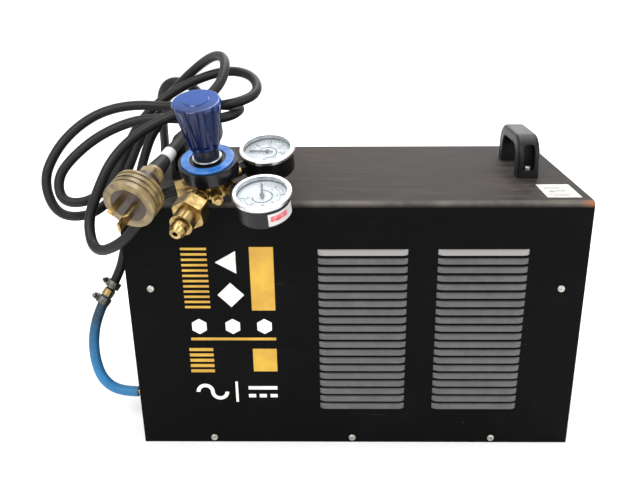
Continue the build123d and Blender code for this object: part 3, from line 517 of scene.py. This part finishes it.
NODE_FINISH = {
    "case": "top_cover base_pan control_panel rear_panel",
    "nylon": "left_handle right_handle cable_gland current_knob slope_knob balance_knob "
             "mains_switch_body mains_switch_rocker torch_control_socket fan_frame fan_rotor "
             "capacitors weld_sockets",
    "zinc": "cover_screws handle_screws fan_screws switch_bodies ac_dc_switch_lever "
            "process_switch_lever trigger_mode_lever adjusting_screw",
    "dull_zinc": "hose_clamps",
    "core": "transformer_core output_choke",
    "copper": "transformer_winding spark_coil",
    "alloy": "heatsinks potentiometers",
    "board": "circuit_boards",
    "wire": "fan_guard",
    "brass": "gas_inlet_barb gas_valve gas_outlet regulator_body inlet_stem inlet_nut relief_valve "
             "hose_outlet plug_pins hose_joiner",
    "silicone": "inner_gas_tube",
    "smoked": "display_window",
    "lamp": "indicator_lamps",
    "lacquer": "regulator_bonnet",
    "blue": "pressure_knob",
    "blue_ring": "bonnet_ring",
    "enamel": "gauge_cases",
    "nickel": "gauge_bezels",
    "pointer": "front_needle rear_needle",
    "amber": "plug_ring plug_gland",
    "bakelite": "plug_body",
}
FINISHES = {}


# ------------------------------------------------------------------ mesh helpers

def slab(bm, x, y, z, turn=Matrix.Identity(4)):
    """A box from pairs of low and high values in mm, then placed by a matrix in metres."""
    made = bmesh.ops.create_cube(bm, size=1.0)["verts"]
    size = Vector((x[1] - x[0], y[1] - y[0], z[1] - z[0])) * MM
    centre = Vector((sum(x), sum(y), sum(z))) * MM / 2
    bmesh.ops.scale(bm, verts=made, vec=size)
    bmesh.ops.translate(bm, verts=made, vec=centre)
    bmesh.ops.transform(bm, verts=made, matrix=turn)
    return made


def drum(bm, radius, z, turn=Matrix.Identity(4), sides=48, top_radius=None):
    """A closed cylinder or cone about the local Z axis between two heights in mm."""
    top = radius if top_radius is None else top_radius
    made = bmesh.ops.create_cone(bm, cap_ends=True, segments=sides, radius1=radius * MM,
                                 radius2=top * MM, depth=(z[1] - z[0]) * MM)["verts"]
    bmesh.ops.translate(bm, verts=made, vec=(0, 0, sum(z) * MM / 2))
    bmesh.ops.transform(bm, verts=made, matrix=turn)
    return made


def lathe(bm, profile, turn=Matrix.Identity(4), steps=48, sweep=360.0):
    """Turn a closed profile of (radius, height) points in mm about the local Z axis."""
    before = set(bm.verts)
    points = [bm.verts.new((r * MM, 0, h * MM)) for r, h in profile]
    edges = [bm.edges.new((a, b)) for a, b in zip(points, points[1:] + points[:1])]
    whole = sweep >= 360.0
    geom = points + edges
    if not whole:
        geom.append(bm.faces.new(points))
    bmesh.ops.spin(bm, geom=geom, axis=(0, 0, 1), cent=(0, 0, 0), angle=math.radians(sweep),
                   steps=steps, use_merge=whole)
    made = [vert for vert in bm.verts if vert not in before]
    bmesh.ops.transform(bm, verts=made, matrix=turn)


def place_piece(name, bm, finish, body, smooth=False):
    """Close a bmesh into an object that rides on a body."""
    bmesh.ops.remove_doubles(bm, verts=bm.verts, dist=0.002 * MM)
    bmesh.ops.recalc_face_normals(bm, faces=bm.faces)
    mesh = bpy.data.meshes.new(name)
    bm.to_mesh(mesh)
    bm.free()
    if smooth:
        mesh.shade_smooth()
        mesh.set_sharp_from_angle(angle=math.radians(35))
    mesh.materials.append(FINISHES[finish])
    piece = bpy.data.objects.new(name, mesh)
    bpy.context.scene.collection.objects.link(piece)
    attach(piece, body)
    return piece


def on_front(x, z):
    """A place on the long side below the regulator: local X along the case, Y up, Z outwards."""
    return Matrix.Translation((x * MM, -HALF_WIDTH, z * MM)) @ Matrix.Rotation(math.radians(90), 4, "X")


def on_panel(y, z):
    """A place on the control panel: local X along +Y, local Y up, local Z outwards."""
    turn = Matrix(((0, 0, 1), (1, 0, 0), (0, 1, 0))).to_4x4()
    return Matrix.Translation((PANEL_X, y * MM, z * MM)) @ turn


def cord_curve(name, route, diameter, finish, node):
    """A smooth round cord through a route given in mm."""
    curve = bpy.data.curves.new(name, "CURVE")
    curve.dimensions = "3D"
    curve.bevel_depth = diameter / 2
    curve.bevel_resolution = 6
    curve.resolution_u = 12
    curve.use_fill_caps = True
    spline = curve.splines.new("NURBS")
    spline.points.add(len(route) - 1)
    for point, place in zip(spline.points, route):
        point.co = (*(value * MM for value in place), 1.0)
    spline.order_u = 3
    spline.use_endpoint_u = True
    curve.materials.append(FINISHES[finish])
    piece = bpy.data.objects.new(name, curve)
    bpy.context.scene.collection.objects.link(piece)
    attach(piece, MACHINE)
    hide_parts(node)
    return piece


# ------------------------------------------------------------------ operators

class StageOperator(bpy.types.Operator):
    """Set the floor, lights and camera"""

    bl_idname = "welder.stage"
    bl_label = "Stage"

    def execute(self, context):
        # A floor that curves up into a backdrop behind the machine, with no line between them.
        bm = bmesh.new()
        made = [bm.verts.new((-BACKDROP_WIDTH / 2, y, z)) for y, z in BACKDROP]
        edges = [bm.edges.new(pair) for pair in zip(made, made[1:])]
        swept = bmesh.ops.extrude_edge_only(bm, edges=edges)["geom"]
        bmesh.ops.translate(bm, verts=[v for v in swept if isinstance(v, bmesh.types.BMVert)],
                            vec=(BACKDROP_WIDTH, 0, 0))
        bmesh.ops.translate(bm, verts=bm.verts, vec=(0, 0, -FLOOR_DROP))
        bmesh.ops.recalc_face_normals(bm, faces=bm.faces)
        mesh = bpy.data.meshes.new("floor")
        bm.to_mesh(mesh)
        bm.free()
        mesh.shade_smooth()
        material = new_material("plain_floor", Roughness=0.9, Base_Color=srgb("#f7f7f7"))[0]
        mesh.materials.append(material)
        floor = bpy.data.objects.new("floor", mesh)
        context.scene.collection.objects.link(floor)

        world = bpy.data.worlds.new("studio")
        context.scene.world = world
        context.scene.view_settings.view_transform = "Standard"
        world.use_nodes = True
        world.node_tree.nodes["Background"].inputs["Color"].default_value = srgb("#ffffff")
        world.node_tree.nodes["Background"].inputs["Strength"].default_value = 1.0
        for name, place, size, power in LIGHTS:
            lamp = bpy.data.lights.new(name, "AREA")
            lamp.size = size
            lamp.energy = power
            thing = bpy.data.objects.new(name, lamp)
            thing.location = place
            aim = Vector(LIGHT_TARGET) - Vector(place)
            thing.rotation_euler = aim.to_track_quat("-Z", "Y").to_euler()
            context.scene.collection.objects.link(thing)

        lens = bpy.data.cameras.new("camera")
        lens.sensor_width = 36.0
        lens.lens = CAMERA_LENS
        lens.shift_x = CAMERA_SHIFT_X
        camera = bpy.data.objects.new("camera", lens)
        camera.location = CAMERA_PLACE
        turn = Vector(CAMERA_FORWARD).to_track_quat("-Z", "Y").to_matrix().to_4x4()
        roll = Matrix.Rotation(math.radians(CAMERA_ROLL_DEGREES), 4, "Z")
        camera.rotation_euler = (turn @ roll).to_euler()
        context.scene.collection.objects.link(camera)
        context.scene.camera = camera
        return {"FINISHED"}


class CordsOperator(bpy.types.Operator):
    """Lay the mains cable and the two gas hoses"""

    bl_idname = "welder.cords"
    bl_label = "Cable and hoses"

    def execute(self, context):
        size = sizes()
        cable = cord_curve("mains_cable", CABLE_ROUTE, size.cable_diameter, "sheath",
                           "power_cable")
        black = cord_curve("black_hose", BLACK_HOSE_ROUTE, size.hose_diameter, "hose",
                           "black_gas_hose")
        blue = cord_curve("blue_hose", BLUE_HOSE_ROUTE, size.blue_hose_diameter, "blue_hose",
                          "blue_gas_hose")
        start = Vector(CABLE_ROUTE[0]) * MM
        aim = (Vector(CABLE_ROUTE[1]) * MM - start).to_track_quat("Z", "Y").to_matrix().to_4x4()
        bore = size.cable_diameter / MM / 2 + 0.1
        bm = bmesh.new()
        # (radius, height) round a boot of five ribs that narrows along the cable.
        ribs = [(bore, -1.5), (9.0, -1.5), (9.0, 2.0)]
        for i in range(5):
            low = 3.0 + 4.0 * i
            radius = 8.7 - 0.35 * i
            ribs += [(radius - 1.0, low), (radius - 1.0, low + 1.2),
                     (radius, low + 1.8), (radius, low + 3.4)]
        ribs += [(6.6, 24.5), (bore, 24.5)]
        lathe(bm, ribs, Matrix.Translation(start) @ aim)
        relief = place_piece("cable_strain_relief", bm, "nylon", MACHINE, smooth=True)
        gland_end = PLUG @ Matrix.Translation((0, 0, -0.0425))
        bm = bmesh.new()
        lathe(bm, [(bore, -21), (6.9, -21), (9.2, -3), (9.2, 0.4), (bore, 0.4)], gland_end)
        collar = place_piece("plug_strain_relief", bm, "nylon", MACHINE, smooth=True)
        bm = bmesh.new()
        lathe(bm, [(bore, -78), (6.7, -78), (6.9, -64), (bore, -64)], PLUG)
        tag = place_piece("cable_tag", bm, "paper", MACHINE, smooth=True)
        return {"FINISHED"}


class FinishOperator(bpy.types.Operator):
    """Give every carried-over part its finish"""

    bl_idname = "welder.finish"
    bl_label = "Finishes"

    def execute(self, context):
        FINISHES.update(stock())
        for finish, names in NODE_FINISH.items():
            for name in names.split():
                mesh = NODES[name].data
                mesh.materials.clear()
                mesh.materials.append(FINISHES[finish])
        return {"FINISHED"}


class HoodsOperator(bpy.types.Operator):
    """Press the louvre hoods over the cooling slots"""

    bl_idname = "welder.hoods"
    bl_label = "Louvre hoods"

    def execute(self, context):
        size = sizes()
        half = size.hood_length / MM / 2
        reach = size.hood_reach / MM
        # (out, up) round one hood's sheet, then how deep it is at places along its length.
        profile = ((0.05, 5.9), (0.34 * reach, 5.7), (0.70 * reach, 4.9), (0.92 * reach, 3.4),
                   (reach, 1.6), (reach, 0.1), (reach - 0.8, 0.1), (reach - 0.9, 1.6),
                   (0.55 * reach, 3.6), (0.05, 4.7))
        stations = ((-half, 0.03), (-half + 1.2, 0.42), (-half + 3.4, 0.8), (-half + 7.0, 1.0),
                    (half - 7.0, 1.0), (half - 3.4, 0.8), (half - 1.2, 0.42), (half, 0.03))
        for side, turn in (("front", 0.0), ("back", 180.0)):
            bm = bmesh.new()
            for x in LOUVRE_XS:
                for row in range(LOUVRE_COUNT):
                    # The far side is turned about Z, so its columns stand at the opposite X.
                    across = x if side == "front" else -x
                    height = LOUVRE_LOW_Z + LOUVRE_PITCH * row
                    self.press(bm, profile, stations, across, height, turn)
            place_piece("louvre_hoods_" + side, bm, "hood", MACHINE, smooth=True)
        return {"FINISHED"}

    def press(self, bm, profile, stations, x, z, turn):
        """Extrude one hood's closed profile along its stations, shallower towards each end."""
        place = (Matrix.Rotation(math.radians(turn), 4, "Z")
                 @ Matrix.Translation((x * MM, -HALF_WIDTH, z * MM)))
        first = [bm.verts.new((stations[0][0] * MM, -out * stations[0][1] * MM, up * MM))
                 for out, up in profile]
        face = bm.faces.new(first)
        made = list(first)
        faces = [face]
        for (before, old), (after, new) in zip(stations, stations[1:]):
            geom = bmesh.ops.extrude_face_region(bm, geom=[faces[-1]],
                                                 use_keep_orig=len(faces) == 1)["geom"]
            verts = [g for g in geom if isinstance(g, bmesh.types.BMVert)]
            faces.append([g for g in geom if isinstance(g, bmesh.types.BMFace)][0])
            bmesh.ops.translate(bm, verts=verts, vec=((after - before) * MM, 0, 0))
            bmesh.ops.scale(bm, verts=verts, vec=(1, new / old, 1))
            made += verts
        bmesh.ops.transform(bm, verts=made, matrix=place)


class MarksOperator(bpy.types.Operator):
    """Lay the plain stripes, blocks and current symbols on the long side"""

    bl_idname = "welder.marks"
    bl_label = "Side marks"

    def execute(self, context):
        film = sizes().film / MM
        gold = bmesh.new()
        for i in range(12):
            slab(gold, (-13.5, 13.5), (-1.3, 1.3), (0, film), on_front(-167, 236 - 6.0 * i))
        slab(gold, (-12.5, 12.5), (-36, 36), (0, film), on_front(-97, 202))
        slab(gold, (-46, 46), (-1.6, 1.6), (0, film), on_front(-131, 132))
        for i in range(5):
            slab(gold, (-13, 13), (-1.8, 1.8), (0, film), on_front(-167, 119 - 6.6 * i))
        slab(gold, (-13, 13), (-14, 14), (0, film), on_front(-98, 106))
        place_piece("gold_stripes", gold, "gold_film", MACHINE)

        white = bmesh.new()
        sideways = Matrix.Rotation(math.radians(90), 4, "Z")
        drum(white, 14.5, (0, film), on_front(-131, 221) @ sideways, sides=3)
        drum(white, 14.0, (0, film), on_front(-131, 184), sides=4)
        for x in (-167, -131, -97):
            drum(white, 9.0, (0, film), on_front(x, 147), sides=6)
        # Alternating current, a bar, and direct current, as on any such machine.
        for side in (-1, 1):
            bend = Matrix.Translation((side * 8 * MM, 0, 0))
            tip = Matrix.Rotation(0 if side < 0 else math.pi, 4, "Z")
            lathe(white, [(5.9, 0), (10.1, 0), (10.1, film), (5.9, film)],
                  on_front(-158, 66) @ bend @ tip, steps=20, sweep=180)
        slab(white, (-1.4, 1.4), (-13, 13), (0, film), on_front(-131, 66))
        slab(white, (-16, 16), (-2.1, 2.1), (0, film), on_front(-102, 71))
        for i in (-1, 0, 1):
            slab(white, (-4, 4), (-2.1, 2.1), (0, film), on_front(-102 + 12 * i, 61))
        place_piece("white_marks", white, "white_film", MACHINE)
        return {"FINISHED"}


class LabelsOperator(bpy.types.Operator):
    """Stick the blank paper labels on the top and the gauge"""

    bl_idname = "welder.labels"
    bl_label = "Blank labels"

    def execute(self, context):
        film = sizes().film / MM
        bm = bmesh.new()
        slab(bm, (-17.5, 17.5), (-24.5, 24.5), (0, film), TOP_LABEL)
        place_piece("top_label", bm, "paper", MACHINE)
        bm = bmesh.new()
        for x, y, wide, tall in ((-4, 12, 9, 1.3), (-4, 7, 9, 1.3), (2, -1, 5, 2.6), (-7, -3, 3, 4.2),
                                 (-2, -12, 11, 0.9), (-2, -15.5, 11, 0.9), (-2, -19, 8, 0.9)):
            slab(bm, (x - wide, x + wide), (y - tall, y + tall), (film, film + PRINT_THICKNESS),
                 TOP_LABEL)
        place_piece("top_label_print", bm, "grey_print", MACHINE)
        x, y, _ = GAUGES["front"]
        cup = REGULATOR @ Matrix.Translation((x * MM, y * MM, 0))
        # Name, finish, outer radius, low and high edges, start angle and sweep.
        wraps = (("gauge_label", "paper", 27.75, -11, 3, -75, 68),
                 ("gauge_label_print", "pink_label", 28.0, -6, 0, -70, 40))
        for name, finish, out, low, high, start, sweep in wraps:
            bm = bmesh.new()
            lathe(bm, [(GAUGE_CUP_RADIUS, low), (out, low), (out, high), (GAUGE_CUP_RADIUS, high)],
                  cup @ Matrix.Rotation(math.radians(start), 4, "Z"), steps=16, sweep=sweep)
            place_piece(name, bm, finish, MACHINE, smooth=True)
        return {"FINISHED"}


class DialsOperator(bpy.types.Operator):
    """Print the gauge dials and fit their glasses"""

    bl_idname = "welder.dials"
    bl_label = "Gauge dials"

    def execute(self, context):
        low_z, high_z = INK_HEIGHTS
        for name, (x, y, start) in GAUGES.items():
            face = REGULATOR @ Matrix.Translation((x * MM, y * MM, 0))
            bm = bmesh.new()
            drum(bm, DIAL_RADIUS, DIAL_HEIGHTS, face, sides=64)
            place_piece(name + "_dial", bm, "dial", MACHINE)
            ink = bmesh.new()
            for i in range(31):
                turn = Matrix.Rotation(math.radians(start - DIAL_SWEEP / 30 * i), 4, "Z")
                inner, half = (17.8, 0.6) if i % 5 == 0 else (20.0, 0.3)
                slab(ink, (inner, 22.6), (-half, half), INK_HEIGHTS, face @ turn)
            scale_end = start - DIAL_SWEEP
            for low, high in ((17.3, 17.9), (9.0, 10.6)):
                lathe(ink, [(low, low_z), (high, low_z), (high, high_z), (low, high_z)],
                      face @ Matrix.Rotation(math.radians(scale_end), 4, "Z"), steps=40, sweep=DIAL_SWEEP)
            self.numbers(ink, face, start, 5 if name == "front" else 50)
            place_piece(name + "_dial_ticks", ink, "ink", MACHINE)
            for colour, low, high in (("green_ink", 95, 175), ("red_ink", 5, 60)):
                arc = bmesh.new()
                lathe(arc, [(23.1, low_z), (24.3, low_z), (24.3, high_z), (23.1, high_z)],
                      face @ Matrix.Rotation(math.radians(scale_end + low), 4, "Z"), steps=18,
                      sweep=high - low)
                place_piece(f"{name}_dial_{colour}", arc, colour, MACHINE)
            glass = bmesh.new()
            lathe(glass, [(0.0001, 9.8), (24.9, 9.4), (24.9, 10.4), (0.0001, 11.0)], face, steps=64)
            place_piece(name + "_glass", glass, "glass", MACHINE, smooth=True)
        return {"FINISHED"}

    def numbers(self, bm, face, start, step):
        """Plain numbers inside the ticks, upright on a dial whose zero stands at its lower left."""
        upright = Matrix.Rotation(math.radians(start - 225), 4, "Z")
        radius = 14.2 * MM
        for i in range(0, 31, 5):
            text = bpy.data.curves.new("digits", "FONT")
            text.body = str(i // 5 * step)
            text.size = 4.4 * MM
            text.extrude = 0.08 * MM
            text.align_x = "CENTER"
            text.align_y = "CENTER"
            holder = bpy.data.objects.new("digits", text)
            bpy.context.scene.collection.objects.link(holder)
            bpy.context.view_layer.update()
            mesh = bpy.data.meshes.new_from_object(holder.evaluated_get(
                bpy.context.evaluated_depsgraph_get()))
            angle = math.radians(start - DIAL_SWEEP / 30 * i)
            spot = Matrix.Translation((radius * math.cos(angle), radius * math.sin(angle), 5.48 * MM))
            mesh.transform(face @ spot @ upright)
            bm.from_mesh(mesh)
            bpy.data.meshes.remove(mesh)
            bpy.data.objects.remove(holder)
            bpy.data.curves.remove(text)


class PanelMarksOperator(bpy.types.Operator):
    """Print the scales and signs round the controls"""

    bl_idname = "welder.panel_marks"
    bl_label = "Control marks"

    def execute(self, context):
        bm = bmesh.new()
        print_heights = (0, 0.2)
        for i in range(11):
            turn = Matrix.Rotation(math.radians(225 - 27 * i), 4, "Z")
            slab(bm, (22, 26), (-0.5, 0.5), print_heights, on_panel(0, 172) @ turn)
        for y in (-80, 80):
            for i in range(7):
                turn = Matrix.Rotation(math.radians(180 - 15 * i), 4, "Z")
                slab(bm, (17.5, 20), (-0.4, 0.4), print_heights, on_panel(y, 262) @ turn)
        for y in (-62, 0, 62):
            for z in (106, 138):
                slab(bm, (-9, 9), (-0.5, 0.5), print_heights, on_panel(y, z))
        for x, z in (((-5, 5), (-0.9, 0.9)), ((-0.9, 0.9), (0.95, 5)), ((-0.9, 0.9), (-5, -0.95))):
            slab(bm, x, z, print_heights, on_panel(70, 86))
        slab(bm, (-5, 5), (-0.9, 0.9), print_heights, on_panel(-70, 86))
        place_piece("control_scales", bm, "white_film", MACHINE)
        # Seven unlit bars to a digit: the middle of each, and half its width and height.
        bars = ((0, 9, 4, 0.8), (0, 0, 4, 0.8), (0, -9, 4, 0.8), (-5, 4.5, 0.8, 3.4),
                (5, 4.5, 0.8, 3.4), (-5, -4.5, 0.8, 3.4), (5, -4.5, 0.8, 3.4))
        digits = bmesh.new()
        for place in (-20, 0, 20):
            for x, z, wide, tall in bars:
                slab(digits, (x - wide, x + wide), (z - tall, z + tall), (1.45, 1.65),
                     on_panel(place, 233))
        place_piece("display_segments", digits, "bakelite", MACHINE)
        return {"FINISHED"}


class RegulatorTrimOperator(bpy.types.Operator):
    """Fit the bright ring round the regulator's neck and the cap in its knob"""

    bl_idname = "welder.regulator_trim"
    bl_label = "Regulator trim"

    def execute(self, context):
        bm = bmesh.new()
        lathe(bm, [(13.02, 28.2), (14.2, 28.2), (14.6, 28.7), (14.6, 29.3), (14.2, 29.8), (13.02, 29.8)],
              REGULATOR)
        place_piece("neck_ring", bm, "nickel", MACHINE, smooth=True)
        bm = bmesh.new()
        drum(bm, 12.5, (91.0, 92.0), REGULATOR, top_radius=11.6)
        place_piece("knob_cap", bm, "blue", "pressure_control", smooth=True)
        return {"FINISHED"}


class WELDER_PT_panel(bpy.types.Panel):
    """Lists the welding machine's pieces and settings"""

    bl_label = "Welding machine"
    bl_space_type = "VIEW_3D"
    bl_region_type = "UI"
    bl_category = "Welder"

    def draw(self, context):
        for group in (context.scene.welder_sizes, context.scene.welder_colours):
            for name in group.__annotations__:
                self.layout.prop(group, name)
        for operator in OPERATORS:
            self.layout.operator(operator.bl_idname)


OPERATORS = (StageOperator, FinishOperator, CordsOperator, HoodsOperator, MarksOperator,
             LabelsOperator, DialsOperator, PanelMarksOperator, RegulatorTrimOperator)
CLASSES = (WelderSizes, WelderColours, *OPERATORS, WELDER_PT_panel)


def register():
    for cls in CLASSES:
        bpy.utils.register_class(cls)
    bpy.types.Scene.welder_sizes = bpy.props.PointerProperty(type=WelderSizes)
    bpy.types.Scene.welder_colours = bpy.props.PointerProperty(type=WelderColours)


def unregister():
    del bpy.types.Scene.welder_colours
    del bpy.types.Scene.welder_sizes
    for cls in reversed(CLASSES):
        bpy.utils.unregister_class(cls)


def main():
    register()
    bpy.ops.welder.stage()
    bpy.ops.welder.finish()
    bpy.ops.welder.cords()
    bpy.ops.welder.hoods()
    bpy.ops.welder.marks()
    bpy.ops.welder.labels()
    bpy.ops.welder.dials()
    bpy.ops.welder.panel_marks()
    bpy.ops.welder.regulator_trim()
    bpy.context.view_layer.update()


if __name__ == "__main__":
    main()
